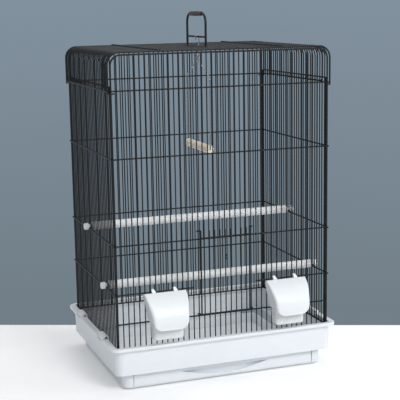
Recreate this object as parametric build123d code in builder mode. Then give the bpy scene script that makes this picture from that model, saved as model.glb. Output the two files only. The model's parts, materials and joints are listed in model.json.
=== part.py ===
from build123d import *
from math import sqrt
import os

# Driving dimensions in millimetres. The origin is under the middle of the base, +Z is up,
# and the front of the cage, with the door, faces -Y.
bar_pitch_x = 10.6
front_spaces = 40
cage_width = bar_pitch_x * front_spaces
cage_depth = 312.0
side_spaces = 30
bar_pitch_y = cage_depth / side_spaces
half_width = cage_width / 2
half_depth = cage_depth / 2

# Wire gauges, as radii
bar_radius = 1.1
cross_radius = 1.4
roof_radius = 1.1
frame_radius = 1.6
weld_overlap = 0.3
cross_offset = bar_radius + cross_radius - weld_overlap

# Heights of the cross wires above the surface that the cage stands on
floor_level = 80.0
sill_level = 129.0
feeder_top_level = 184.5
door_top_level = 276.0
upper_level = 435.0
skirt_level = 557.0
roof_level = 625.0
side_levels = [floor_level, feeder_top_level, door_top_level, upper_level]
back_levels = side_levels + [skirt_level]

# Front and back panels: their bent perimeter wire
panel_top = roof_level - 4.5
panel_bend = 19.0

# Side panels
side_top_level = skirt_level + 8.0
side_post_y = half_depth - 5.4
side_wire_half = half_depth - 2.0
corner_hook_radius = 1.3
corner_hook_major = frame_radius + 0.2 + corner_hook_radius
corner_hook_turn = 190.0

# Base tub
foot_height = 3.0
base_wall = 2.5
step_level = 33.0
rim_top = 87.0
rim_bottom = 81.5
seat_level = floor_level - cross_radius - 0.1
rim_half_x = 229.0
rim_half_y = 171.0
rim_corner = 17.0
skirt_half_x = 220.0
skirt_half_y = 164.0
lower_half_x = 203.0
lower_half_y = 151.0
lower_corner = 14.0
wall_draft = 2.0
skirt_corner = 16.0
ledge_width = 7.0
foot_x = 153.5
foot_y = 118.0
foot_size_x = 45.0
foot_size_y = 34.0
foot_corner = 6.0
middle_foot_radius = 25.0
seat_half_x = half_width + 5.2
seat_half_y = half_depth + 5.2
seat_corner = 4.0

# Drawer
drawer_half_x = 183.0
drawer_back = 140.0
drawer_height = 24.0
drawer_wall = 2.2
drawer_gap = 0.3
drawer_front_depth = 12.0
drawer_corner = 8.0
scoop_half_x = 89.0
scoop_depth = 8.5
scoop_rise = 17.0
scoop_floor = 3.0
scoop_draft = 8.0

# Base clips
clip_y = 80.0
clip_length = 30.0
clip_pivot_x = 224.5
clip_pivot_z = 85.6
clip_barrel_radius = 2.8
clip_pin_radius = 1.3
clip_notch_floor = clip_pivot_z - clip_barrel_radius - 0.3

# Roof cap
cap_half_x = half_width + 5.4
cap_bend = 22.0
skirt_turn = 8.0
skirt_space = 3
brace_x = 120.0
tie_level = skirt_level - 1.0
hoop_foot = skirt_level - 4.0
hoop_hook_major = cap_half_x - half_width
hoop_hook_turn = 170.0

# Door
door_half_spaces = 5
door_rail_x = door_half_spaces * bar_pitch_x - 4.2
door_y = -half_depth - 2.9
door_ring_low = sill_level + 3.8
door_ring_high = door_top_level + 16.0
door_head_level = door_top_level + 3.0
door_ring_radius = 1.1
door_ring_major = bar_radius + 0.35 + door_ring_radius
finger_ring_major = 4.0
finger_ring_level = 240.0

# Feeders, one at each side of the door
feeder_x = 11.5 * bar_pitch_x
feeder_first = 8
feeder_last = 15
hood_top_half = 40.8
hood_bottom = 122.0
hood_corner_cut = 18.0
hood_wall = 1.8
hood_back = -half_depth - 1.6
hook_half = 3.5
hook_spaces = 2
cup_half = 30.0
cup_depth = 28.0
cup_bottom = 100.0
cup_height = 35.0
cup_wall = 1.6
cup_corner = 7.5
cup_draft = 1.5
cup_lip_inset = 8.0
cup_lip_drop = 4.0
cup_back = -half_depth - 1.4

# Long perches
perch_radius = 8.0
neck_radius = 3.6
cap_radius = 6.5
cap_length = 8.0
upper_perch_y = 2.5 * bar_pitch_y
lower_perch_y = -8.5 * bar_pitch_y
perch_rise = cross_radius + neck_radius + 0.05

# Carrying handle and swing
handle_x = 7.0
handle_spaces = 5
handle_half_y = handle_spaces * bar_pitch_y
handle_radius = 2.2
handle_top = 688.0
handle_bend = 17.0
handle_rung = 644.0
rung_radius = 1.8
grip_radius = 4.7
grip_length = 62.0
swing_y = -bar_pitch_y / 2
swing_wire = 1.0
swing_perch_length = 125.0
swing_perch_level = 430.0
swing_shoulder_level = 567.0
swing_shoulder_bend = 6.0
swing_corner_bend = 2.2
swing_half_y = swing_perch_length / 2 + 2.5
swing_ring_major = 3.2
hook_eye_level = 607.0
peg_reach = 9.0

os.makedirs("parts", exist_ok=True)


def save(piece, name):
    piece.part.label = name
    export_step(piece.part, f"parts/{name}.step")


def arch_height(x, half, top, bend):
    """Height of a wire that runs across at top and bends down at both ends."""
    inside = abs(x) - (half - bend)
    if inside <= 0:
        return top
    return top - bend + sqrt(bend**2 - inside**2)


def panel_corner_hooks(side):
    """Open hooks of the side panel, each round a corner post of the front or back panel."""
    for level in side_levels:
        for end in (-1, 1):
            start = 50 - corner_hook_turn if end < 0 else -50
            turn = start if side > 0 else 180 - start - corner_hook_turn
            with Locations(Location((side * half_width, end * half_depth, level), (0, 0, turn))):
                Torus(
                    corner_hook_major,
                    corner_hook_radius,
                    major_angle=corner_hook_turn,
                    align=None,
                )


# Front and back panels: upright bars, a bent perimeter wire and straight cross wires
def bar_top(number):
    """Height at which a bar of the front or back panel meets the perimeter wire."""
    return arch_height(number * bar_pitch_x, half_width, panel_top, panel_bend)


def back_bar_spans(number):
    """Lower and upper end of a back bar."""
    return [(floor_level, bar_top(number))]


def front_bar_spans(number):
    """Lower and upper end of each stretch of a front bar, which the openings interrupt."""
    top = bar_top(number)
    if abs(number) < door_half_spaces:
        return [(floor_level, sill_level + 1), (door_top_level - 1, top)]
    if feeder_first < abs(number) < feeder_last:
        return [(floor_level, sill_level + 1), (feeder_top_level - 1, top)]
    return [(floor_level, top)]


def bars_by_span(spans_of_bar):
    """Bar numbers grouped by the span that they share."""
    groups = {}
    for number in range(-front_spaces // 2 + 1, front_spaces // 2):
        for span in spans_of_bar(number):
            groups.setdefault(span, []).append(number)
    return groups


def wide_panel(y, inward, spans_of_bar, cross_wires):
    """Front or back panel at y, with its cross wires on the inner side."""
    with BuildPart() as panel:
        with BuildLine(Plane.XZ.offset(-y)) as outline:
            Line((-half_width, floor_level - cross_radius), (-half_width, panel_top - panel_bend))
            RadiusArc(
                (-half_width, panel_top - panel_bend),
                (-half_width + panel_bend, panel_top),
                panel_bend,
            )
            Line((-half_width + panel_bend, panel_top), (half_width - panel_bend, panel_top))
            RadiusArc(
                (half_width - panel_bend, panel_top),
                (half_width, panel_top - panel_bend),
                panel_bend,
            )
            Line((half_width, panel_top - panel_bend), (half_width, floor_level - cross_radius))
        with BuildSketch(Plane(origin=outline.line @ 0, z_dir=outline.line % 0)):
            Circle(frame_radius)
        sweep()
        for (low, high), numbers in bars_by_span(spans_of_bar).items():
            places = [(number * bar_pitch_x, y, (low + high) / 2) for number in numbers]
            with Locations(*places):
                Cylinder(bar_radius, high - low)
        for first, last, level in cross_wires:
            with Locations(((first + last) / 2, y + inward * cross_offset, level)):
                Cylinder(cross_radius, last - first, rotation=(0, 90, 0))
    return panel


# each cross wire as its first x, last x and height
side_of_door = (door_half_spaces + 1) * bar_pitch_x
front_cross_wires = [
    (-half_width, half_width, floor_level),
    (-half_width, half_width, sill_level),
    (-half_width, -side_of_door, feeder_top_level),
    (side_of_door, half_width, feeder_top_level),
    (-half_width, half_width, door_top_level),
    (-half_width, half_width, upper_level),
    (-half_width, half_width, skirt_level),
]
back_cross_wires = [(-half_width, half_width, level) for level in back_levels]

front_panel = wide_panel(-half_depth, 1, front_bar_spans, front_cross_wires)
save(front_panel, "front_panel")

back_panel = wide_panel(half_depth, -1, back_bar_spans, back_cross_wires)
save(back_panel, "back_panel")


# Side panels: straight bars between two end posts, cross wires outside, open hooks at the corners
def side_panel_at(side):
    with BuildPart() as panel:
        height = side_top_level - floor_level
        middle = (side_top_level + floor_level) / 2
        with Locations((side * half_width, 0, middle)):
            with GridLocations(1, bar_pitch_y, 1, side_spaces - 1):
                Cylinder(bar_radius, height)
        with Locations(
            (side * half_width, -side_post_y, middle),
            (side * half_width, side_post_y, middle),
        ):
            Cylinder(cross_radius, height)
        for level in side_levels:
            with Locations((side * (half_width + cross_offset), 0, level)):
                Cylinder(cross_radius, 2 * side_wire_half, rotation=(90, 0, 0))
        with Locations((side * (half_width + cross_offset), 0, side_top_level)):
            Cylinder(cross_radius, 2 * side_post_y, rotation=(90, 0, 0))
        panel_corner_hooks(side)
    return panel


for side_name, side in (("left", -1), ("right", 1)):
    save(side_panel_at(side), f"{side_name}_panel")


# Roof cap: wires across the roof that bend down as end skirts, with turned frame wires,
# end hoops and two braces
half_count = side_spaces // 2
frame_number = half_count - skirt_space


def roof_wire(number, radius, foot):
    """One wire over the roof and down both ends to the height foot."""
    y = number * bar_pitch_y
    with BuildLine(Plane.XZ.offset(-y)) as run:
        FilletPolyline(
            (-cap_half_x, foot),
            (-cap_half_x, roof_level),
            (cap_half_x, roof_level),
            (cap_half_x, foot),
            radius=cap_bend,
        )
    with BuildSketch(Plane(origin=run.line @ 0, z_dir=run.line % 0)) as section:
        Circle(radius)
    sweep(section.sketch, path=run.line)


with BuildPart() as plain_roof_wire:
    roof_wire(0, roof_radius, skirt_level)

with BuildPart() as roof_cap:
    roof_wire(-half_count, frame_radius, hoop_foot)
    roof_wire(half_count, frame_radius, hoop_foot)
    roof_wire(-frame_number, frame_radius, skirt_level + skirt_turn)
    roof_wire(frame_number, frame_radius, skirt_level + skirt_turn)
    plain_numbers = [n for n in range(1 - half_count, half_count) if abs(n) != frame_number]
    with Locations(*[(0, number * bar_pitch_y, 0) for number in plain_numbers]):
        add(plain_roof_wire.part)
    frame_y = frame_number * bar_pitch_y
    for side in (-1, 1):
        with BuildLine(Plane.YZ.offset(side * cap_half_x)) as run:
            FilletPolyline(
                (-frame_y, skirt_level + skirt_turn + 1),
                (-frame_y, skirt_level),
                (frame_y, skirt_level),
                (frame_y, skirt_level + skirt_turn + 1),
                radius=skirt_turn,
            )
        with BuildSketch(Plane(origin=run.line @ 0, z_dir=run.line % 0)):
            Circle(frame_radius)
        sweep(path=run.line)
        tie_length = half_depth - frame_y + skirt_turn
        for end in (-1, 1):
            with Locations((side * cap_half_x, end * (half_depth - tie_length / 2), tie_level)):
                Cylinder(cross_radius, tie_length, rotation=(90, 0, 0))
            start = -hoop_hook_turn if end < 0 else 0
            turn = start if side > 0 else 180 - start - hoop_hook_turn
            with Locations(Location((side * half_width, end * half_depth, hoop_foot), (0, 0, turn))):
                Torus(hoop_hook_major, cross_radius, major_angle=hoop_hook_turn, align=None)
    brace_level = roof_level + roof_radius + cross_radius - weld_overlap
    with Locations((-brace_x, 0, brace_level), (brace_x, 0, brace_level)):
        Cylinder(cross_radius, cage_depth, rotation=(90, 0, 0))
save(roof_cap, "roof_cap")


# Sliding door: bars on two rails, cross wires in front and a finger ring on the middle bar
with BuildPart() as door:
    door_low = door_ring_low - cross_radius
    door_high = door_ring_high
    rail_height = door_high - door_low + cross_radius
    with Locations((0, door_y, (door_low + door_high + cross_radius) / 2)):
        with GridLocations(2 * door_rail_x, 1, 2, 1):
            Cylinder(cross_radius, rail_height)
    with Locations((0, door_y, (door_low + door_high) / 2)):
        with GridLocations(bar_pitch_x, 1, 2 * door_half_spaces - 1, 1):
            Cylinder(bar_radius, door_high - door_low)
    front_of_door = door_y - bar_radius - door_ring_radius + weld_overlap
    with Locations((0, front_of_door, door_ring_low), (0, front_of_door, door_head_level)):
        Cylinder(door_ring_radius, 2 * door_rail_x + 2, rotation=(0, 90, 0))
    with Locations((0, door_y - finger_ring_major - weld_overlap, finger_ring_level)):
        Torus(finger_ring_major, door_ring_radius, rotation=(0, 90, 0))
save(door, "door")

# Four closed rings at the door's corners, each round a bar of the front panel and up against a rail
with BuildPart() as door_rings:
    ring_x = door_half_spaces * bar_pitch_x
    with Locations(
        *[(x, -half_depth, z) for x in (-ring_x, ring_x) for z in (door_ring_low, door_ring_high)]
    ):
        Torus(door_ring_major, door_ring_radius)
save(door_rings, "door_rings")


# Base tub: tapered lower part for the drawer, wider skirt, rim with a seat for the wire panels
floor_top = foot_height + base_wall
with BuildPart() as base:
    with BuildSketch(Plane.XY.offset(step_level)):
        RectangleRounded(2 * lower_half_x, 2 * lower_half_y, lower_corner)
    extrude(amount=-(step_level - foot_height), taper=wall_draft)
    with BuildSketch(Plane.XY.offset(rim_top)):
        RectangleRounded(2 * skirt_half_x, 2 * skirt_half_y, skirt_corner)
    extrude(amount=-(rim_top - step_level), taper=wall_draft / 2)
    with BuildSketch(Plane.XY.offset(rim_bottom)):
        RectangleRounded(2 * rim_half_x, 2 * rim_half_y, rim_corner)
    extrude(amount=rim_top - rim_bottom)
    fillet(base.edges().group_by(Axis.Z)[0], 2.0)
    fillet(base.edges().filter_by(GeomType.LINE).group_by(Axis.Z)[-1], 1.5)
    with BuildSketch(Plane.XY.offset(step_level + base_wall)):
        RectangleRounded(
            2 * (lower_half_x - base_wall),
            2 * (lower_half_y - base_wall),
            lower_corner - base_wall,
        )
    extrude(amount=-(step_level + base_wall - floor_top), taper=wall_draft, mode=Mode.SUBTRACT)
    with BuildSketch(Plane.XY.offset(seat_level - base_wall)):
        RectangleRounded(
            2 * (skirt_half_x - base_wall) - 1,
            2 * (skirt_half_y - base_wall) - 1,
            skirt_corner - base_wall,
        )
    extrude(amount=-(seat_level - 2 * base_wall - step_level), taper=wall_draft / 2, mode=Mode.SUBTRACT)
    with BuildSketch(Plane.XY.offset(seat_level - base_wall)):
        RectangleRounded(2 * (seat_half_x - ledge_width), 2 * (seat_half_y - ledge_width), seat_corner)
    extrude(amount=rim_top - seat_level + base_wall, mode=Mode.SUBTRACT)
    with BuildSketch(Plane.XY.offset(seat_level)):
        RectangleRounded(2 * seat_half_x, 2 * seat_half_y, seat_corner)
    extrude(amount=rim_top - seat_level, mode=Mode.SUBTRACT)
    # drawer opening through the front wall
    opening_half = drawer_half_x + 1.0
    with BuildSketch(Plane.XZ.offset(lower_half_y + 1)):
        with Locations((0, (floor_top + step_level - base_wall) / 2)):
            Rectangle(2 * opening_half, step_level - base_wall - floor_top)
    extrude(amount=-(base_wall + 6), mode=Mode.SUBTRACT)
    # notches and pin holes for the clips
    for side in (-1, 1):
        with BuildSketch(Plane.XY.offset(clip_notch_floor)):
            with Locations((side * (seat_half_x - 2 + rim_half_x + 1) / 2, 0)):
                with GridLocations(1, 2 * clip_y, 1, 2):
                    Rectangle(rim_half_x + 3 - seat_half_x, clip_length + 1.0)
        extrude(amount=rim_top, mode=Mode.SUBTRACT)
        with Locations((side * clip_pivot_x, 0, clip_pivot_z)):
            with GridLocations(1, 2 * clip_y, 1, 2):
                Cylinder(clip_pin_radius + 0.1, clip_length + 7, rotation=(90, 0, 0), mode=Mode.SUBTRACT)
    # feet
    with BuildSketch():
        with GridLocations(2 * foot_x, 2 * foot_y, 2, 2):
            RectangleRounded(foot_size_x, foot_size_y, foot_corner)
        Circle(middle_foot_radius)
    extrude(amount=foot_height + 0.5)
save(base, "base")


# Drawer: tray on the base floor, with a deep front that has a finger scoop
with BuildPart() as drawer:
    tray_bottom = floor_top + drawer_gap
    front_y = -lower_half_y + 1.0
    tray_depth = drawer_back - front_y
    with BuildSketch(Plane.XY.offset(tray_bottom)):
        with Locations((0, (drawer_back + front_y) / 2)):
            Rectangle(2 * drawer_half_x, tray_depth)
    extrude(amount=drawer_height)
    fillet(drawer.edges().filter_by(Axis.Z).group_by(Axis.Y)[-1], drawer_corner)
    inner_front = front_y + drawer_front_depth
    with BuildSketch(Plane.XY.offset(tray_bottom + drawer_wall)):
        with Locations((0, (drawer_back - drawer_wall + inner_front) / 2)):
            RectangleRounded(
                2 * (drawer_half_x - drawer_wall),
                drawer_back - drawer_wall - inner_front,
                drawer_corner - drawer_wall,
            )
    extrude(amount=drawer_height, mode=Mode.SUBTRACT)
    with BuildSketch(Plane.XZ.offset(-front_y)):
        with BuildLine():
            scoop_level = tray_bottom + scoop_rise
            scoop_top = Line((-scoop_half_x, scoop_level), (scoop_half_x, scoop_level))
            ThreePointArc(scoop_top @ 1, (0, tray_bottom + scoop_floor), scoop_top @ 0)
        make_face()
    extrude(amount=-scoop_depth, taper=scoop_draft, mode=Mode.SUBTRACT)
    front_edges = drawer.edges().group_by(Axis.Y)[0]
    fillet(front_edges.filter_by(Axis.Z), 1.5)
    fillet(drawer.faces().sort_by(Axis.Y)[0].edges().filter_by(Axis.X).sort_by(Axis.Z)[-1], 1.2)
save(drawer, "drawer")


# Base clips: a barrel with pins in the rim and an arched tongue over the panel's bottom wire.
# The profile points are offsets from the pivot, outwards and up.
tongue_outside = [(2.6, -1.0), (1.0, 5.0), (-5.5, 8.2), (-10.0, 4.6)]
tongue_inside = [(-8.0, 3.2), (-5.0, 5.6), (-2.4, 1.0)]
tongue_tip = [(-10.4, -3.8), (-8.4, -3.8)]


def tongue_points(side, offsets):
    """Profile points of a clip on one side of the base."""
    return [(side * (clip_pivot_x + out), clip_pivot_z + up) for out, up in offsets]


def base_clip(side, y):
    with BuildPart() as clip:
        with BuildSketch(Plane.XZ.offset(-y - clip_length / 2)):
            with BuildLine():
                outside = Spline(*tongue_points(side, tongue_outside))
                inside = Spline(*tongue_points(side, tongue_inside))
                Polyline(outside @ 1, *tongue_points(side, tongue_tip), inside @ 0)
                Line(inside @ 1, outside @ 0)
            make_face()
            with Locations((side * clip_pivot_x, clip_pivot_z)):
                Circle(clip_barrel_radius)
        extrude(amount=clip_length)
        with Locations((side * clip_pivot_x, y, clip_pivot_z)):
            Cylinder(clip_pin_radius, clip_length + 6, rotation=(90, 0, 0))
    return clip


for side_name, side in (("left", -1), ("right", 1)):
    for end_name, end in (("front", -1), ("back", 1)):
        save(base_clip(side, end * clip_y), f"base_clip_{side_name}_{end_name}")


# Feeder hoods: curved shells that hang on the cross wire above the feeder openings.
# Each slice is its height, half width, depth and corner radius.
hood_slices = [
    (hood_bottom, 34.0, 42.0, 6.0),
    (hood_bottom + 12, 34.4, 43.0, 6.0),
    (hood_bottom + 24, 35.2, 42.0, 6.0),
    (hood_bottom + 38, 37.4, 35.0, 6.0),
    (hood_bottom + 48, 39.2, 27.0, 5.0),
    (hood_bottom + 56, 40.2, 18.0, 4.0),
    (feeder_top_level, hood_top_half, 7.0, 2.5),
]
hood_front = 43.0

# outline of a hood's hook, as offsets from the cross wire, inwards and up
hook_outline = [
    (-8.2, -4.0),
    (-8.2, 0.6),
    (-6.4, 3.8),
    (-3.8, 7.0),
    (1.5, 5.2),
    (3.9, 1.0),
    (3.5, -2.6),
    (1.6, -2.6),
    (1.6, -4.0),
]


def hood_body(x, inset, back):
    """Solid lofted through the hood slices, each inset at its sides, front and top."""
    with BuildPart() as body:
        for height, half, depth, corner in hood_slices:
            level = min(height, feeder_top_level - inset)
            with BuildSketch(Plane.XY.offset(level)) as slice_sketch:
                with Locations((x, (back + hood_back - depth + inset) / 2)):
                    Rectangle(2 * (half - inset), back - hood_back + depth - inset)
                fillet(slice_sketch.vertices().group_by(Axis.Y)[0], corner - inset)
        loft()
    return body.part


def feeder_hood(x):
    hinge_y = -half_depth + cross_offset
    with BuildPart() as hood:
        add(hood_body(x, 0, hood_back))
        add(hood_body(x, hood_wall, hood_back + 2), mode=Mode.SUBTRACT)
        with BuildSketch(Plane.YZ.offset(x - hood_top_half - 1)):
            with BuildLine():
                Polyline(
                    (hood_back + 0.5, feeder_top_level - 4.5),
                    (hood_back + 0.5, feeder_top_level + 1),
                    (hood_back - 5, feeder_top_level + 1),
                    close=True,
                )
            make_face()
        extrude(amount=2 * hood_top_half + 2, mode=Mode.SUBTRACT)
        with BuildSketch(Plane.XZ.offset(-hood_back + hood_front + 2)):
            for side in (-1, 1):
                with BuildLine():
                    arc_end = x + side * (hood_slices[0][1] - hood_corner_cut)
                    outer_x = x + side * (hood_slices[0][1] + 4)
                    cut_top = hood_bottom + hood_corner_cut
                    corner_arc = ThreePointArc(
                        (arc_end, hood_bottom),
                        (
                            arc_end + side * hood_corner_cut * sqrt(0.5),
                            cut_top - hood_corner_cut * sqrt(0.5),
                        ),
                        (arc_end + side * hood_corner_cut, cut_top),
                    )
                    Polyline(
                        corner_arc @ 1,
                        (outer_x, cut_top),
                        (outer_x, hood_bottom - 1),
                        (arc_end, hood_bottom - 1),
                        corner_arc @ 0,
                    )
                make_face()
        extrude(amount=-(hood_front + 4), mode=Mode.SUBTRACT)
        for hook_x in (x - hook_spaces * bar_pitch_x, x + hook_spaces * bar_pitch_x):
            with BuildSketch(Plane.YZ.offset(hook_x - hook_half)):
                with BuildLine():
                    Polyline(
                        *[(hinge_y + inward, feeder_top_level + up) for inward, up in hook_outline],
                        close=True,
                    )
                make_face()
                with Locations((hinge_y, feeder_top_level)):
                    Circle(cross_radius + 0.3, mode=Mode.SUBTRACT)
                with Locations((hinge_y, feeder_top_level - 4)):
                    Rectangle(2 * (cross_radius + 0.3), 8, mode=Mode.SUBTRACT)
            extrude(amount=2 * hook_half)
            with BuildSketch(Plane.XZ.offset(-hinge_y - 4)):
                with BuildLine():
                    Polyline(
                        (hook_x + hook_half + 0.1, feeder_top_level + 2),
                        (hook_x + hook_half + 0.1, feeder_top_level + 10),
                        (hook_x - hook_half + 2, feeder_top_level + 10),
                        close=True,
                    )
                make_face()
            extrude(amount=12, both=True, mode=Mode.SUBTRACT)
    return hood


# Feeder cups: tapered troughs whose back lip hangs over the sill wire
def feeder_cup(x):
    sill_y = -half_depth + cross_offset
    with BuildPart() as cup:
        with BuildSketch(Plane.XY.offset(cup_bottom + cup_height)):
            with Locations((x, cup_back - cup_depth / 2)):
                RectangleRounded(2 * cup_half, cup_depth, cup_corner)
        extrude(amount=-cup_height, taper=cup_draft)
        fillet(cup.faces().sort_by(Axis.Z)[0].edges(), 3.0)
        with BuildSketch(Plane.XY.offset(cup_bottom + cup_height)):
            with Locations((x, cup_back - cup_depth / 2)):
                RectangleRounded(
                    2 * (cup_half - cup_wall),
                    cup_depth - 2 * cup_wall,
                    cup_corner - cup_wall,
                )
        extrude(amount=-(cup_height - cup_wall), taper=cup_draft, mode=Mode.SUBTRACT)
        lip_bottom = sill_level + cross_radius + 0.4
        lip_front = sill_y + cross_radius + 0.4
        with BuildSketch(Plane.YZ.offset(x - cup_half + cup_lip_inset)):
            with BuildLine():
                Polyline(
                    (cup_back - cup_wall, lip_bottom),
                    (lip_front, lip_bottom),
                    (lip_front, sill_level - cup_lip_drop),
                    (lip_front + cup_wall, sill_level - cup_lip_drop),
                    (lip_front + cup_wall, lip_bottom + cup_wall),
                    (cup_back - cup_wall, lip_bottom + cup_wall),
                    close=True,
                )
            make_face()
        extrude(amount=2 * (cup_half - cup_lip_inset))
    return cup


for side_name, side in (("left", -1), ("right", 1)):
    save(feeder_hood(side * feeder_x), f"feeder_hood_{side_name}")
    save(feeder_cup(side * feeder_x), f"feeder_cup_{side_name}")


# Long perches: thick rods with necks that pass between the side bars, and end caps outside
perch_places = {
    "upper": (upper_perch_y, door_top_level + perch_rise),
    "lower": (lower_perch_y, feeder_top_level + perch_rise),
}
shoulder_x = half_width - bar_radius - 0.4
cap_inner_x = half_width + cross_offset + cross_radius + 0.5
neck_end_x = cap_inner_x + cap_length - 3.0

for perch_name, (y, z) in perch_places.items():
    with BuildPart() as perch:
        with Locations((0, y, z)):
            Cylinder(perch_radius, 2 * shoulder_x, rotation=(0, 90, 0))
            chamfer(perch.edges(), 1.0)
            Cylinder(neck_radius, 2 * neck_end_x, rotation=(0, 90, 0))
    save(perch, f"perch_{perch_name}")

with BuildPart() as perch_caps:
    for y, z in perch_places.values():
        for side in (-1, 1):
            with Locations((side * (cap_inner_x + cap_length / 2), y, z)):
                Cylinder(cap_radius, cap_length, rotation=(0, 90, 0))
    outer_rims = perch_caps.edges().filter_by(lambda edge: abs(edge.center().X) > neck_end_x)
    fillet(outer_rims, 2.0)
    for y, z in perch_places.values():
        with Locations((0, y, z)):
            Cylinder(neck_radius + 0.05, 2 * neck_end_x + 0.4, rotation=(0, 90, 0), mode=Mode.SUBTRACT)
save(perch_caps, "perch_caps")


# Carrying handle: a wire bail whose eyes hold two roof wires, with a rung between its legs
eye_radius = 1.5
eye_major = roof_radius + 0.15 + eye_radius
with BuildPart() as handle_bail:
    with BuildLine(Plane.YZ.offset(handle_x)) as bail:
        FilletPolyline(
            (-handle_half_y, roof_level + eye_major - 0.5),
            (-handle_half_y, handle_top),
            (handle_half_y, handle_top),
            (handle_half_y, roof_level + eye_major - 0.5),
            radius=handle_bend,
        )
    with BuildSketch(Plane(origin=bail.line @ 0, z_dir=bail.line % 0)):
        Circle(handle_radius)
    sweep()
    with Locations((handle_x, 0, handle_rung)):
        Cylinder(rung_radius, 2 * handle_half_y, rotation=(90, 0, 0))
    with Locations((handle_x, -handle_half_y, roof_level), (handle_x, handle_half_y, roof_level)):
        Torus(eye_major, eye_radius, rotation=(0, 90, 0))
save(handle_bail, "handle_bail")

with BuildPart() as handle_grip:
    with BuildSketch(Plane.YZ.offset(handle_x)):
        with BuildLine():
            bore = handle_radius + 0.08
            low_edge = Line((-grip_length / 2, handle_top + bore), (grip_length / 2, handle_top + bore))
            end_edge = Line(low_edge @ 1, (grip_length / 2, handle_top + grip_radius - 0.6))
            crown = ThreePointArc(
                end_edge @ 1,
                (0, handle_top + grip_radius),
                (-grip_length / 2, handle_top + grip_radius - 0.6),
            )
            Line(crown @ 1, low_edge @ 0)
        make_face()
    revolve(axis=Axis((handle_x, 0, handle_top), (0, 1, 0)))
save(handle_grip, "handle_grip")


# Swing: a hook on the handle's rung, a bent wire frame linked to its eye, and a wooden perch
hook_bend = rung_radius + 0.6 + swing_wire
hook_centre = handle_rung - 0.5
frame_eye_level = hook_eye_level - 2 * swing_ring_major + 2 * swing_wire + 0.1
with BuildPart() as swing_hook:
    with BuildLine(Plane.XZ.offset(-swing_y)) as wire:
        over = CenterArc((handle_x, hook_centre), hook_bend, 0, 180)
        Line(over @ 1, over @ 1 - (0, 7))
    with BuildSketch(Plane(origin=over @ 0, z_dir=over % 0)) as section:
        Circle(swing_wire)
    sweep(section.sketch, path=wire.line)
    with BuildLine(Plane.XZ.offset(-swing_y)) as shank:
        FilletPolyline(
            (handle_x + hook_bend, hook_centre),
            (handle_x + hook_bend, hook_centre - 12),
            (handle_x, hook_centre - 20),
            (handle_x, hook_eye_level + swing_ring_major + 0.3),
            radius=4,
        )
    with BuildSketch(Plane(origin=shank.line @ 0, z_dir=shank.line % 0)) as section:
        Circle(swing_wire)
    sweep(section.sketch, path=shank.line)
    with Locations((handle_x, swing_y, hook_eye_level)):
        Torus(swing_ring_major, swing_wire, rotation=(90, 0, 0))
save(swing_hook, "swing_hook")

frame_apex = frame_eye_level - swing_ring_major
with BuildPart() as swing_frame:
    with BuildLine(Plane.YZ.offset(handle_x)) as frame_wire:
        FilletPolyline(
            (swing_y - swing_half_y + peg_reach, swing_perch_level),
            (swing_y - swing_half_y, swing_perch_level),
            (swing_y - swing_half_y, swing_shoulder_level),
            (swing_y, frame_apex),
            (swing_y + swing_half_y, swing_shoulder_level),
            (swing_y + swing_half_y, swing_perch_level),
            (swing_y + swing_half_y - peg_reach, swing_perch_level),
            radius=[
                swing_corner_bend,
                swing_shoulder_bend,
                swing_corner_bend,
                swing_shoulder_bend,
                swing_corner_bend,
            ],
        )
    with BuildSketch(Plane(origin=frame_wire.line @ 0, z_dir=frame_wire.line % 0)):
        Circle(swing_wire)
    sweep()
    with Locations((handle_x, swing_y, frame_eye_level)):
        Torus(swing_ring_major, swing_wire, rotation=(0, 90, 0))
save(swing_frame, "swing_frame")

with BuildPart() as swing_perch:
    with Locations((handle_x, swing_y, swing_perch_level)):
        Cylinder(perch_radius, swing_perch_length, rotation=(90, 0, 0))
        chamfer(swing_perch.edges(), 1.0)
        for end in (-1, 1):
            with Locations((0, end * (swing_perch_length / 2 - peg_reach / 2), 0)):
                Cylinder(swing_wire + 0.08, peg_reach, rotation=(90, 0, 0), mode=Mode.SUBTRACT)
save(swing_perch, "swing_perch")
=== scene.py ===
import json
import math

import bmesh
import bpy
from mathutils import Matrix, Vector


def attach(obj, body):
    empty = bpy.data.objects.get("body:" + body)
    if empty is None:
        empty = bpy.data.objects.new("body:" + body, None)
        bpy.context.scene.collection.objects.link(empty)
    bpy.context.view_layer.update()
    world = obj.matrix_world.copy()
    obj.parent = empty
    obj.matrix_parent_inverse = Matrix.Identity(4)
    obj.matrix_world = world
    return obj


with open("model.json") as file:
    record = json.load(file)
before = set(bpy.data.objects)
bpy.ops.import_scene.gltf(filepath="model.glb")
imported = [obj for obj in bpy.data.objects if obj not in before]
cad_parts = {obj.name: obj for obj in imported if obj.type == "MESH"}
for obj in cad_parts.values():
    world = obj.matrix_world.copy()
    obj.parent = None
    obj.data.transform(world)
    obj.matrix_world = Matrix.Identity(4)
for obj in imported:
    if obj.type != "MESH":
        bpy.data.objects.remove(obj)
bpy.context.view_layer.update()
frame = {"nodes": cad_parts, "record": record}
nodes = frame["nodes"]
MM = 0.001


# Shader helpers: a node by its type, set inputs by name, and links between sockets
def add_node(tree, kind, **settings):
    made = tree.nodes.new(kind)
    for key, value in settings.items():
        setattr(made, key, value)
    return made


def join(tree, source, target):
    tree.links.new(source, target)


def group_with(name, inputs, outputs):
    """An empty shader group with float inputs (name, default) and outputs (name, socket type)."""
    group = bpy.data.node_groups.new(name, "ShaderNodeTree")
    for label, value in inputs:
        socket = group.interface.new_socket(label, in_out="INPUT", socket_type="NodeSocketFloat")
        socket.default_value = value
    for label, kind in outputs:
        group.interface.new_socket(label, in_out="OUTPUT", socket_type=kind)
    return group, group.nodes.new("NodeGroupInput"), group.nodes.new("NodeGroupOutput")


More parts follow.
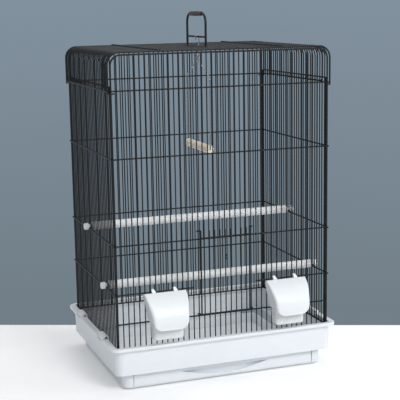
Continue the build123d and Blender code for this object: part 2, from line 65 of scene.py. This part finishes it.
def range_of(tree, source, low, high, to_low=0.0, to_high=1.0):
    """Maps a value from low..high to to_low..to_high, clamped."""
    mapped = add_node(tree, "ShaderNodeMapRange")
    mapped.inputs["From Min"].default_value = low
    mapped.inputs["From Max"].default_value = high
    mapped.inputs["To Min"].default_value = to_low
    mapped.inputs["To Max"].default_value = to_high
    join(tree, source, mapped.inputs["Value"])
    return mapped.outputs["Result"]


def noise_of(tree, vector, scale, detail=3.0, roughness=0.5):
    noise = add_node(tree, "ShaderNodeTexNoise")
    noise.inputs["Detail"].default_value = detail
    noise.inputs["Roughness"].default_value = roughness
    if isinstance(scale, (int, float)):
        noise.inputs["Scale"].default_value = scale
    else:
        join(tree, scale, noise.inputs["Scale"])
    join(tree, vector, noise.inputs["Vector"])
    return noise.outputs["Fac"]


def mix_colours(tree, mask, first, second):
    """Colour that goes from first to second with the mask; each is a socket or a colour."""
    blend = add_node(tree, "ShaderNodeMix", data_type="RGBA")
    join(tree, mask, blend.inputs[0])
    for value, socket in ((first, blend.inputs[6]), (second, blend.inputs[7])):
        if isinstance(value, tuple):
            socket.default_value = value + (1.0,)
        else:
            join(tree, value, socket)
    return blend.outputs[2]


def multiply(tree, first, second):
    product = add_node(tree, "ShaderNodeMath", operation="MULTIPLY")
    join(tree, first, product.inputs[0])
    if isinstance(second, (int, float)):
        product.inputs[1].default_value = second
    else:
        join(tree, second, product.inputs[1])
    return product.outputs[0]


def plus(tree, first, second):
    total = add_node(tree, "ShaderNodeMath", operation="ADD")
    join(tree, first, total.inputs[0])
    join(tree, second, total.inputs[1])
    return total.outputs[0]


# Moulded skin: the fine grain of a mould or a powder coat, with broad uneven patches
moulded_skin, gate_in, gate_out = group_with(
    "moulded_skin",
    [("Grain Scale", 900.0), ("Patch Scale", 14.0)],
    [("Height", "NodeSocketFloat"), ("Patches", "NodeSocketFloat"), ("Specks", "NodeSocketFloat")],
)
place = add_node(moulded_skin, "ShaderNodeTexCoord").outputs["Object"]
grain = noise_of(moulded_skin, place, gate_in.outputs["Grain Scale"], 2.0)
patches = noise_of(moulded_skin, place, gate_in.outputs["Patch Scale"], 4.0, 0.6)
speck_scale = multiply(moulded_skin, gate_in.outputs["Grain Scale"], 0.45)
specks = noise_of(moulded_skin, place, speck_scale, 1.0)
join(moulded_skin, grain, gate_out.inputs["Height"])
join(moulded_skin, patches, gate_out.inputs["Patches"])
join(moulded_skin, range_of(moulded_skin, specks, 0.66, 0.76), gate_out.inputs["Specks"])

# Rubbed edges and sheen: raised edges that hands and the floor have polished, broken up by noise;
# where the mask is used it paints these edges lighter, rubbed wear with a painted sheen of the polish
rubbed_edges, gate_in, gate_out = group_with(
    "rubbed_edges", [("Start", 0.52), ("Full", 0.62)], [("Mask", "NodeSocketFloat")]
)
place = add_node(rubbed_edges, "ShaderNodeTexCoord").outputs["Object"]
point = add_node(rubbed_edges, "ShaderNodeNewGeometry").outputs["Pointiness"]
reach = add_node(rubbed_edges, "ShaderNodeMapRange")
join(rubbed_edges, point, reach.inputs["Value"])
join(rubbed_edges, gate_in.outputs["Start"], reach.inputs["From Min"])
join(rubbed_edges, gate_in.outputs["Full"], reach.inputs["From Max"])
broken = range_of(rubbed_edges, noise_of(rubbed_edges, place, 60.0, 4.0), 0.38, 0.62)
join(rubbed_edges, multiply(rubbed_edges, reach.outputs["Result"], broken), gate_out.inputs["Mask"])

# Settled dust: a thin film on surfaces that face up, thicker in patches
settled_dust, gate_in, gate_out = group_with(
    "settled_dust", [("Amount", 0.2)], [("Mask", "NodeSocketFloat")]
)
place = add_node(settled_dust, "ShaderNodeTexCoord").outputs["Object"]
facing = add_node(settled_dust, "ShaderNodeSeparateXYZ")
normal = add_node(settled_dust, "ShaderNodeNewGeometry").outputs["Normal"]
join(settled_dust, normal, facing.inputs[0])
upward = range_of(settled_dust, facing.outputs["Z"], 0.35, 1.0)
film = range_of(settled_dust, noise_of(settled_dust, place, 38.0, 5.0, 0.65), 0.3, 0.75)
dusty = multiply(settled_dust, multiply(settled_dust, upward, film), gate_in.outputs["Amount"])
join(settled_dust, dusty, gate_out.inputs["Mask"])

# Drawn lines: fine streaks along one axis, as on drawn wire, extruded plastic or sanded wood
drawn_lines, gate_in, gate_out = group_with(
    "drawn_lines",
    [("Across", 800.0), ("Along X", 1.0), ("Along Y", 1.0), ("Along Z", 1.0)],
    [("Height", "NodeSocketFloat")],
)
place = add_node(drawn_lines, "ShaderNodeTexCoord").outputs["Object"]
stretch = add_node(drawn_lines, "ShaderNodeCombineXYZ")
for axis in "XYZ":
    join(drawn_lines, gate_in.outputs[f"Along {axis}"], stretch.inputs[axis])
scaled = add_node(drawn_lines, "ShaderNodeVectorMath", operation="MULTIPLY")
join(drawn_lines, place, scaled.inputs[0])
join(drawn_lines, stretch.outputs[0], scaled.inputs[1])
streaks = noise_of(drawn_lines, scaled.outputs[0], gate_in.outputs["Across"], 3.0)
join(drawn_lines, streaks, gate_out.inputs["Height"])


def place_group(tree, group, **values):
    placed = add_node(tree, "ShaderNodeGroup", node_tree=group)
    for label, value in values.items():
        placed.inputs[label.replace("_", " ")].default_value = value
    return placed


def finish_named(name):
    """A new material with its shader, ready to be linked."""
    finish = bpy.data.materials.new(name)
    finish.use_nodes = True
    return finish, finish.node_tree, finish.node_tree.nodes["Principled BSDF"]


def bump(tree, shader, height, depth_mm, strength=1.0):
    raised = add_node(tree, "ShaderNodeBump")
    raised.inputs["Distance"].default_value = depth_mm * MM
    raised.inputs["Strength"].default_value = strength
    join(tree, height, raised.inputs["Height"])
    join(tree, raised.outputs["Normal"], shader.inputs["Normal"])
    return raised


def vary_roughness(tree, shader, mask, smooth, rough):
    """Roughness that wanders from smooth to rough with the mask's middle range."""
    join(tree, range_of(tree, mask, 0.3, 0.7, smooth, rough), shader.inputs["Roughness"])


def powder_coated_wire():
    finish, tree, shader = finish_named("coated_wire")
    skin = place_group(tree, moulded_skin, Grain_Scale=1500.0, Patch_Scale=22.0)
    dust = place_group(tree, settled_dust, Amount=0.05)
    deep, pale, dusty_tone = (0.0035, 0.0045, 0.0055), (0.0085, 0.0105, 0.0125), (0.20, 0.21, 0.22)
    tone = mix_colours(tree, skin.outputs["Patches"], deep, pale)
    tone = mix_colours(tree, dust.outputs["Mask"], tone, dusty_tone)
    join(tree, tone, shader.inputs["Base Color"])
    vary_roughness(tree, shader, skin.outputs["Patches"], 0.42, 0.58)
    shader.inputs["Specular IOR Level"].default_value = 0.28
    shader.inputs["Coat Weight"].default_value = 0.06
    shader.inputs["Coat Roughness"].default_value = 0.25
    bump(tree, shader, skin.outputs["Height"], 0.06, 0.6)
    return finish


def white_moulding(name, light, shade, roughness, dust_amount):
    finish, tree, shader = finish_named(name)
    skin = place_group(tree, moulded_skin, Grain_Scale=1100.0, Patch_Scale=9.0)
    edges = place_group(tree, rubbed_edges, Start=0.53, Full=0.64)
    dust = place_group(tree, settled_dust, Amount=dust_amount)
    tone = mix_colours(tree, range_of(tree, skin.outputs["Patches"], 0.3, 0.7), shade, light)
    tone = mix_colours(tree, multiply(tree, skin.outputs["Specks"], 0.35), tone, (0.72, 0.75, 0.78))
    # Raised edges painted lighter: rubbed wear with a painted sheen of the polish
    tone = mix_colours(tree, edges.outputs["Mask"], tone, light)
    tone = mix_colours(tree, dust.outputs["Mask"], tone, (0.60, 0.60, 0.58))
    join(tree, tone, shader.inputs["Base Color"])
    worn = range_of(tree, skin.outputs["Patches"], 0.25, 0.75, roughness - 0.05, roughness + 0.08)
    join(tree, worn, shader.inputs["Roughness"])
    shader.inputs["Subsurface Weight"].default_value = 0.12
    shader.inputs["Subsurface Radius"].default_value = (0.004, 0.004, 0.0045)
    shader.inputs["Subsurface Scale"].default_value = 1.0
    shader.inputs["IOR"].default_value = 1.49
    bump(tree, shader, skin.outputs["Height"], 0.05, 0.5)
    return finish


def clear_moulding():
    finish, tree, shader = finish_named("clear_plastic")
    skin = place_group(tree, moulded_skin, Grain_Scale=700.0, Patch_Scale=30.0)
    tone = mix_colours(tree, skin.outputs["Patches"], (0.94, 0.955, 0.965), (0.97, 0.98, 0.985))
    join(tree, tone, shader.inputs["Base Color"])
    vary_roughness(tree, shader, skin.outputs["Patches"], 0.20, 0.34)
    shader.inputs["Transmission Weight"].default_value = 0.12
    shader.inputs["Alpha"].default_value = 0.72
    shader.inputs["IOR"].default_value = 1.38
    bump(tree, shader, skin.outputs["Height"], 0.08, 0.5)
    return finish


def perch_moulding():
    finish, tree, shader = finish_named("perch_plastic")
    skin = place_group(tree, moulded_skin, Grain_Scale=800.0, Patch_Scale=26.0)
    lines = place_group(tree, drawn_lines, Across=420.0, Along_X=0.03)
    tone = mix_colours(tree, skin.outputs["Patches"], (0.76, 0.775, 0.785), (0.86, 0.875, 0.885))
    streak = range_of(tree, lines.outputs["Height"], 0.55, 0.8)
    tone = mix_colours(tree, streak, tone, (0.70, 0.70, 0.70))
    join(tree, tone, shader.inputs["Base Color"])
    vary_roughness(tree, shader, skin.outputs["Patches"], 0.42, 0.56)
    bump(tree, shader, plus(tree, lines.outputs["Height"], skin.outputs["Height"]), 0.12, 0.6)
    return finish


def satin_plastic(name, deep, pale, roughness):
    finish, tree, shader = finish_named(name)
    skin = place_group(tree, moulded_skin, Grain_Scale=1300.0, Patch_Scale=40.0)
    edges = place_group(tree, rubbed_edges, Start=0.53, Full=0.66)
    tone = mix_colours(tree, skin.outputs["Patches"], deep, pale)
    # Raised edges painted up to half way towards a lighter tone: rubbed wear with a painted sheen of
    # the polish
    rubbed_sheen_tone = tuple(min(1.0, channel * 1.8 + 0.02) for channel in pale)
    tone = mix_colours(tree, multiply(tree, edges.outputs["Mask"], 0.5), tone, rubbed_sheen_tone)
    join(tree, tone, shader.inputs["Base Color"])
    vary_roughness(tree, shader, skin.outputs["Patches"], roughness - 0.06, roughness + 0.06)
    bump(tree, shader, skin.outputs["Height"], 0.07, 0.6)
    return finish


def zinc_plated_wire():
    finish, tree, shader = finish_named("zinc_wire")
    skin = place_group(tree, moulded_skin, Grain_Scale=1400.0, Patch_Scale=60.0)
    lines = place_group(tree, drawn_lines, Across=2600.0, Along_Z=0.02)
    tone = mix_colours(tree, skin.outputs["Patches"], (0.30, 0.315, 0.335), (0.46, 0.475, 0.49))
    join(tree, tone, shader.inputs["Base Color"])
    shader.inputs["Metallic"].default_value = 1.0
    vary_roughness(tree, shader, lines.outputs["Height"], 0.16, 0.32)
    bump(tree, shader, lines.outputs["Height"], 0.03, 0.6)
    return finish


def turned_wood():
    finish, tree, shader = finish_named("perch_wood")
    fibres = place_group(tree, drawn_lines, Across=900.0, Along_Y=0.035)
    rings = place_group(tree, drawn_lines, Across=170.0, Along_Y=0.05)
    skin = place_group(tree, moulded_skin, Grain_Scale=1000.0, Patch_Scale=45.0)
    year_rings = range_of(tree, rings.outputs["Height"], 0.3, 0.7)
    tone = mix_colours(tree, year_rings, (0.92, 0.85, 0.72), (0.84, 0.74, 0.58))
    streak = range_of(tree, fibres.outputs["Height"], 0.55, 0.8)
    tone = mix_colours(tree, streak, tone, (0.70, 0.58, 0.42))
    join(tree, tone, shader.inputs["Base Color"])
    vary_roughness(tree, shader, skin.outputs["Patches"], 0.50, 0.68)
    bump(tree, shader, fibres.outputs["Height"], 0.18, 0.7)
    return finish


white_plastic = white_moulding(
    "white_plastic",
    light=(0.83, 0.86, 0.89),
    shade=(0.79, 0.825, 0.86),
    roughness=0.34,
    dust_amount=0.10,
)
cap_plastic = white_moulding(
    "cap_plastic",
    light=(0.84, 0.86, 0.88),
    shade=(0.80, 0.825, 0.85),
    roughness=0.40,
    dust_amount=0.06,
)
grip_plastic = satin_plastic(
    "grip_plastic", deep=(0.028, 0.014, 0.013), pale=(0.052, 0.028, 0.026), roughness=0.46
)
finishes = {
    "white_plastic": white_plastic,
    "coated_wire": powder_coated_wire(),
    "clear_plastic": clear_moulding(),
    "perch_plastic": perch_moulding(),
    "cap_plastic": cap_plastic,
    "grip_plastic": grip_plastic,
    "zinc_wire": zinc_plated_wire(),
    "perch_wood": turned_wood(),
}

# Every node of the frame takes the finish of its slot
for entry in frame["record"]["subparts"]:
    mesh = nodes[entry["node"]].data
    mesh.materials.clear()
    mesh.materials.append(finishes[entry["material_slot"]])


# Weld marks: a small flattened bead wherever an upright bar meets a cross wire
bar_pitch_x = 10.6 * MM
bar_pitch_y = 10.4 * MM
half_spaces_x = 20
half_spaces_y = 15
door_half_spaces = 5
half_width = half_spaces_x * bar_pitch_x
half_depth = half_spaces_y * bar_pitch_y
floor_level = 80 * MM
sill_level = 129 * MM
feeder_top_level = 184.5 * MM
door_top_level = 276 * MM
upper_level = 435 * MM
skirt_level = 557 * MM
side_levels = [floor_level, feeder_top_level, door_top_level, upper_level]
bead_offset = 1.0 * MM


def weld_marks(name, places, size):
    """One mesh with a bead at each place; size is the bead's half extent along X, Y and Z."""
    shape = bmesh.new()
    for place in places:
        turned = Matrix.Translation(place) @ Matrix.Diagonal((*size, 1.0))
        bmesh.ops.create_icosphere(shape, subdivisions=2, radius=1.0, matrix=turned)
    mesh = bpy.data.meshes.new(name)
    shape.to_mesh(mesh)
    shape.free()
    mesh.shade_smooth()
    mesh.materials.append(finishes["coated_wire"])
    beads = bpy.data.objects.new(name, mesh)
    bpy.context.scene.collection.objects.link(beads)
    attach(beads, "frame")
    return beads


def front_has_bar(number, level):
    """Whether a bar of the front panel crosses the wire at that level."""
    if abs(number) < door_half_spaces:
        return not sill_level < level < door_top_level
    if abs(number) == door_half_spaces:
        return level != feeder_top_level
    return True


wide_bead = (1.7 * MM, 0.9 * MM, 1.7 * MM)
deep_bead = (0.9 * MM, 1.7 * MM, 1.7 * MM)
bars_x = range(1 - half_spaces_x, half_spaces_x)
bars_y = range(1 - half_spaces_y, half_spaces_y)
front_levels = side_levels + [sill_level, skirt_level]
weld_marks(
    "front_welds",
    [
        (number * bar_pitch_x, -half_depth + bead_offset, level)
        for number in bars_x
        for level in front_levels
        if front_has_bar(number, level)
    ],
    wide_bead,
)
weld_marks(
    "back_welds",
    [
        (number * bar_pitch_x, half_depth - bead_offset, level)
        for number in bars_x
        for level in side_levels + [skirt_level]
    ],
    wide_bead,
)
for side_name, side in (("left", -1), ("right", 1)):
    weld_marks(
        side_name + "_welds",
        [
            (side * (half_width + bead_offset), number * bar_pitch_y, level)
            for number in bars_y
            for level in side_levels
        ],
        deep_bead,
    )


# Camera at the photograph's viewing angle
view_yaw = math.radians(20.0388)
view_pitch = math.radians(-10.3740)
view_roll = math.radians(-0.9595)
camera_place = Vector((-0.7159, -1.9870, 0.7071))
focal_pixels = 1073.5
photo_pixels = 400
sensor_width = 36.0
forward = Vector(
    (
        math.sin(view_yaw) * math.cos(view_pitch),
        math.cos(view_yaw) * math.cos(view_pitch),
        math.sin(view_pitch),
    )
)
level_right = Vector((math.cos(view_yaw), -math.sin(view_yaw), 0.0))
level_up = level_right.cross(forward)
right = math.cos(view_roll) * level_right + math.sin(view_roll) * level_up
up = -math.sin(view_roll) * level_right + math.cos(view_roll) * level_up
lens = bpy.data.cameras.new("camera")
lens.sensor_width = sensor_width
lens.lens = focal_pixels / photo_pixels * sensor_width
camera = bpy.data.objects.new("camera", lens)
bpy.context.scene.collection.objects.link(camera)
turn = Matrix((right, up, -forward)).transposed().to_4x4()
camera.matrix_world = Matrix.Translation(camera_place) @ turn
bpy.context.scene.camera = camera


# Stage: a pale floor, and a slate backdrop and kerb that only show their fronts
def stage_sheet(name, corners):
    mesh = bpy.data.meshes.new(name)
    mesh.from_pydata([tuple(corner) for corner in corners], [], [(0, 1, 2, 3)])
    sheet = bpy.data.objects.new(name, mesh)
    bpy.context.scene.collection.objects.link(sheet)
    return sheet


def stage_paint(name, low, high, lit, glow):
    """Matt paint, part lit and part glowing to the camera, from low to high with the height."""
    finish, tree, shader = finish_named(name)
    height = add_node(tree, "ShaderNodeSeparateXYZ")
    join(tree, add_node(tree, "ShaderNodeNewGeometry").outputs["Position"], height.inputs[0])
    skin = place_group(tree, moulded_skin, Grain_Scale=120.0, Patch_Scale=2.0)
    tone = mix_colours(tree, range_of(tree, height.outputs["Z"], 0.0, 0.72), low, high)
    dimmer = mix_colours(tree, skin.outputs["Patches"], (0.98, 0.98, 0.98), (1.0, 1.0, 1.0))
    spread = add_node(tree, "ShaderNodeMix", data_type="RGBA", blend_type="MULTIPLY")
    spread.inputs[0].default_value = 1.0
    join(tree, tone, spread.inputs[6])
    join(tree, dimmer, spread.inputs[7])
    shown = add_node(tree, "ShaderNodeMix", data_type="RGBA")
    join(tree, add_node(tree, "ShaderNodeLightPath").outputs["Is Camera Ray"], shown.inputs[0])
    shown.inputs[6].default_value = (0.0, 0.0, 0.0, 1.0)
    join(tree, spread.outputs[2], shown.inputs[7])
    join(tree, shown.outputs[2], shader.inputs["Emission Color"])
    shader.inputs["Emission Strength"].default_value = glow
    shader.inputs["Base Color"].default_value = lit + (1.0,)
    shader.inputs["Roughness"].default_value = 0.85
    shader.inputs["Specular IOR Level"].default_value = 0.05
    return finish


def seen_from_front_only(finish):
    """The sheet is see-through from its back."""
    tree = finish.node_tree
    see_through = add_node(tree, "ShaderNodeBsdfTransparent")
    one_sided = add_node(tree, "ShaderNodeMixShader")
    join(tree, add_node(tree, "ShaderNodeNewGeometry").outputs["Backfacing"], one_sided.inputs[0])
    join(tree, tree.nodes["Principled BSDF"].outputs[0], one_sided.inputs[1])
    join(tree, see_through.outputs[0], one_sided.inputs[2])
    join(tree, one_sided.outputs[0], tree.nodes["Material Output"].inputs["Surface"])


edge = 6
floor = stage_sheet("floor", [(-edge, -edge, 0), (edge, -edge, 0), (edge, edge, 0), (-edge, edge, 0)])
floor_glow = (1.0, 0.99, 0.98)
floor_lit = (0.88, 0.885, 0.89)
floor.data.materials.append(stage_paint("floor_paint", floor_glow, floor_glow, floor_lit, 0.19))

# A low kerb of the same slate hides the backdrop's foot; both follow the view's tilted horizon
backdrop_half_span = 3
backdrop_height = 3
backdrop_distance = 2.42
kerb_distance = 2.31
kerb_height = 0.036
stage_turn = 0.059
heading = Vector((math.sin(view_yaw), math.cos(view_yaw), 0.0))
across = level_right - heading * stage_turn
under_camera = Vector((camera_place.x, camera_place.y, 0.0))
slate_low = (0.158, 0.203, 0.236)
slate_high = (0.212, 0.275, 0.333)
slate_lit = (0.01, 0.01, 0.01)
slate = stage_paint("slate_paint", slate_low, slate_high, slate_lit, 1.0)
seen_from_front_only(slate)
for name, distance, height in (
    ("backdrop", backdrop_distance, backdrop_height),
    ("slate_kerb", kerb_distance, kerb_height),
):
    foot = under_camera + heading * distance
    ends = (foot - across * backdrop_half_span, foot + across * backdrop_half_span)
    rise = Vector((0, 0, height))
    sheet = stage_sheet(name, [ends[0], ends[1], ends[1] + rise, ends[0] + rise])
    sheet.data.materials.append(slate)
    sheet.visible_shadow = False
    sheet.visible_diffuse = False
    sheet.visible_glossy = False


# World: even pale light, seen by the camera as slate
sky_light = (0.93, 0.96, 1.0, 1.0)
sky_seen = (0.40, 0.51, 0.60, 1.0)
sky_strength = 0.46
world = bpy.data.worlds.new("studio")
bpy.context.scene.world = world
world.use_nodes = True
tree = world.node_tree
sky = tree.nodes["Background"]
seen = add_node(tree, "ShaderNodeMix", data_type="RGBA")
path = add_node(tree, "ShaderNodeLightPath")
join(tree, path.outputs["Is Camera Ray"], seen.inputs[0])
seen.inputs[6].default_value = sky_light
seen.inputs[7].default_value = sky_seen
join(tree, seen.outputs[2], sky.inputs["Color"])
sky.inputs["Strength"].default_value = sky_strength


def soft_lamp(name, place, aim, size, power, colour):
    """A round area lamp at place that looks at aim; size is its width in metres."""
    lamp = bpy.data.lights.new(name, "AREA")
    lamp.shape = "DISK"
    lamp.size = size
    lamp.energy = power
    lamp.color = colour
    holder = bpy.data.objects.new(name, lamp)
    bpy.context.scene.collection.objects.link(holder)
    holder.location = place
    holder.rotation_mode = "QUATERNION"
    holder.rotation_quaternion = (Vector(aim) - Vector(place)).to_track_quat("-Z", "Y")
    return holder


soft_lamp("key_lamp", (0.5, -2.5, 2.0), (0, 0, 0.25), 1.3, 44.0, (1.0, 0.995, 0.98))
soft_lamp("fill_lamp", (2.3, -1.4, 1.5), (0, 0, 0.3), 1.6, 15.0, (0.96, 0.98, 1.0))
soft_lamp("top_lamp", (0.2, 0.5, 2.6), (0, 0, 0.3), 1.6, 16.0, (1.0, 1.0, 1.0))

bpy.context.scene.view_settings.view_transform = "Standard"
